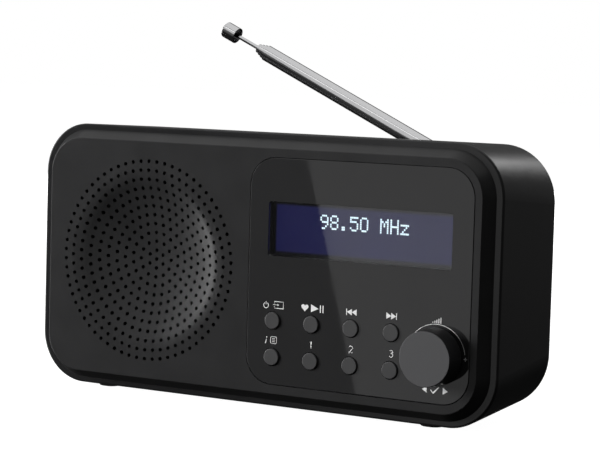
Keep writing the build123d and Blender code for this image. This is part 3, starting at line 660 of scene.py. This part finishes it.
def list_symbol():
    """Rounded square with three lines in it."""
    r = 0.35
    s = 0.62
    corners = arc(s, s, r, 0, 90, 6) + arc(-s, s, r, 90, 180, 6)
    corners += arc(-s, -s, r, 180, 270, 6) + arc(s, -s, r, 270, 360, 6)
    lines = [block(0, z, 0.95, 0.12) for z in (-0.42, 0.0, 0.42)]
    return stroke(corners, 0.13, closed=True) + lines


def digit_one():
    return stroke([(-0.5, 0.72), (0.0, 0.9), (0.0, -1.0)])


def digit_two():
    curve = arc(0, 0.4, 0.55, 165, -25, 12)
    return stroke(curve + [(-0.6, -0.9), (0.62, -0.9)])


def digit_three():
    upper = arc(-0.02, 0.45, 0.48, 150, -90, 12)
    lower = arc(-0.05, -0.42, 0.57, 90, -155, 12)
    return stroke(upper) + stroke(lower)


def volume_symbol():
    """Five bars that grow to the right, on one base line."""
    return [block(-1.2 + 0.6 * i, -0.85 + 0.16 * (i + 1), 0.26, 0.32 * (i + 1)) for i in range(5)]


def tick_symbol():
    return stroke([(-1.25, 0.05), (-0.45, -0.8), (1.3, 0.95)], 0.26)


def plus_symbol():
    return [block(0, 0, 1.0, 0.18), block(0, 0, 0.18, 1.0)]


def minus_symbol():
    return [block(0, 0, 1.0, 0.18)]


def print_panel():
    """White symbols on the control panel, above the buttons and round the knob."""
    ink = print_white().material
    power_x, row_z = middle("power_button")
    info_x, low_row_z = middle("menu_button")
    knob_x, knob_z = middle("volume_knob")
    high = row_z + SYMBOL_RISE
    low = low_row_z + DIGIT_RISE
    columns = {node: middle(node)[0] + SYMBOL_SHIFT for node in (
        "play_button", "previous_button", "next_button")}
    # Outlines of each symbol, and where its middle lies, as x and z in mm.
    symbols = {
        "print_power": (power_symbol(), power_x - 2.3, high - 0.4),
        "print_input": (input_symbol(), power_x + 1.93, high - 0.18),
        "print_heart": (heart_symbol(), columns["play_button"] - 2.25, high - 0.15),
        "print_play": (play_symbol(), columns["play_button"] + 1.9, high - 0.15),
        "print_previous": (skip_symbol(-1), columns["previous_button"], high - 0.13),
        "print_next": (skip_symbol(1), columns["next_button"], high - 0.13),
        "print_info": (info_symbol(), info_x - 2.03, low - 0.18),
        "print_list": (list_symbol(), info_x + 0.5, low),
        "print_one": (digit_one(), columns["play_button"] + 0.1, low - 0.15),
        "print_two": (digit_two(), columns["previous_button"] + 0.2, low - 0.2),
        "print_three": (digit_three(), columns["next_button"] + 0.2, low - 0.2),
        "print_volume": (volume_symbol(), knob_x, high),
        "print_arc": (stroke(arc(0, 0, 8.8, 172, 8, 64), 0.13), knob_x, knob_z),
        "print_plus": (plus_symbol(), knob_x + 8.9, knob_z),
        "print_minus": (minus_symbol(), knob_x - 8.9, knob_z),
        "print_left": ([triangle(0, 0, 1.7, -1)], knob_x - 3.1, knob_z - 9.3),
        "print_tick": (tick_symbol(), knob_x, knob_z - 9.3),
        "print_right": ([triangle(0, 0, 1.9, 1)], knob_x + 3.27, knob_z - 9.3),
    }
    for name, (outlines, x, z) in symbols.items():
        solid(name, shifted(outlines, x, z), 0.0, PRINT_THICK, ink)


# Dots of the display's characters, row by row from the top; # is a lit dot.
GLYPHS = {
    "9": (".###.", "#...#", "#...#", ".####", "....#", "...#.", ".##.."),
    "8": (".###.", "#...#", "#...#", ".###.", "#...#", "#...#", ".###."),
    ".": (".....", ".....", ".....", ".....", ".....", ".##..", ".##.."),
    "5": ("#####", "#....", "####.", "....#", "....#", "#...#", ".###."),
    "0": (".###.", "#...#", "#...#", "#...#", "#...#", "#...#", ".###."),
    " ": (".....",) * 7,
    "M": ("#...#", "##.##", "#.#.#", "#.#.#", "#...#", "#...#", "#...#"),
    "H": ("#...#", "#...#", "#...#", "#####", "#...#", "#...#", "#...#"),
    "z": (".....", ".....", "#####", "...#.", "..#..", ".#...", "#####"),
}
STATION = "98.50 MHz"
CHAR_PITCH = 3.16
DOT_PITCH_X = 0.53
DOT_PITCH_Z = 0.59
DOT_FILL = 0.86
TEXT_LEFT = 20.7
TEXT_TOP = 16.75


def write_display():
    """Lit dots of the station on the face of the display glass."""
    lcd_depth = (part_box("lcd_glass")[0].y - FACE_Y) / MM
    dots = []
    for place, letter in enumerate(STATION):
        for row, marks in enumerate(GLYPHS[letter]):
            for column, mark in enumerate(marks):
                if mark == "#":
                    x = TEXT_LEFT + place * CHAR_PITCH + column * DOT_PITCH_X
                    z = TEXT_TOP - row * DOT_PITCH_Z
                    dots.append(block(x, z, DOT_PITCH_X * DOT_FILL, DOT_PITCH_Z * DOT_FILL))
    solid("display_text", dots, lcd_depth, PRINT_THICK, display_glow().material)


make_camera()
make_studio()
dress_frame()
print_panel()
write_display()
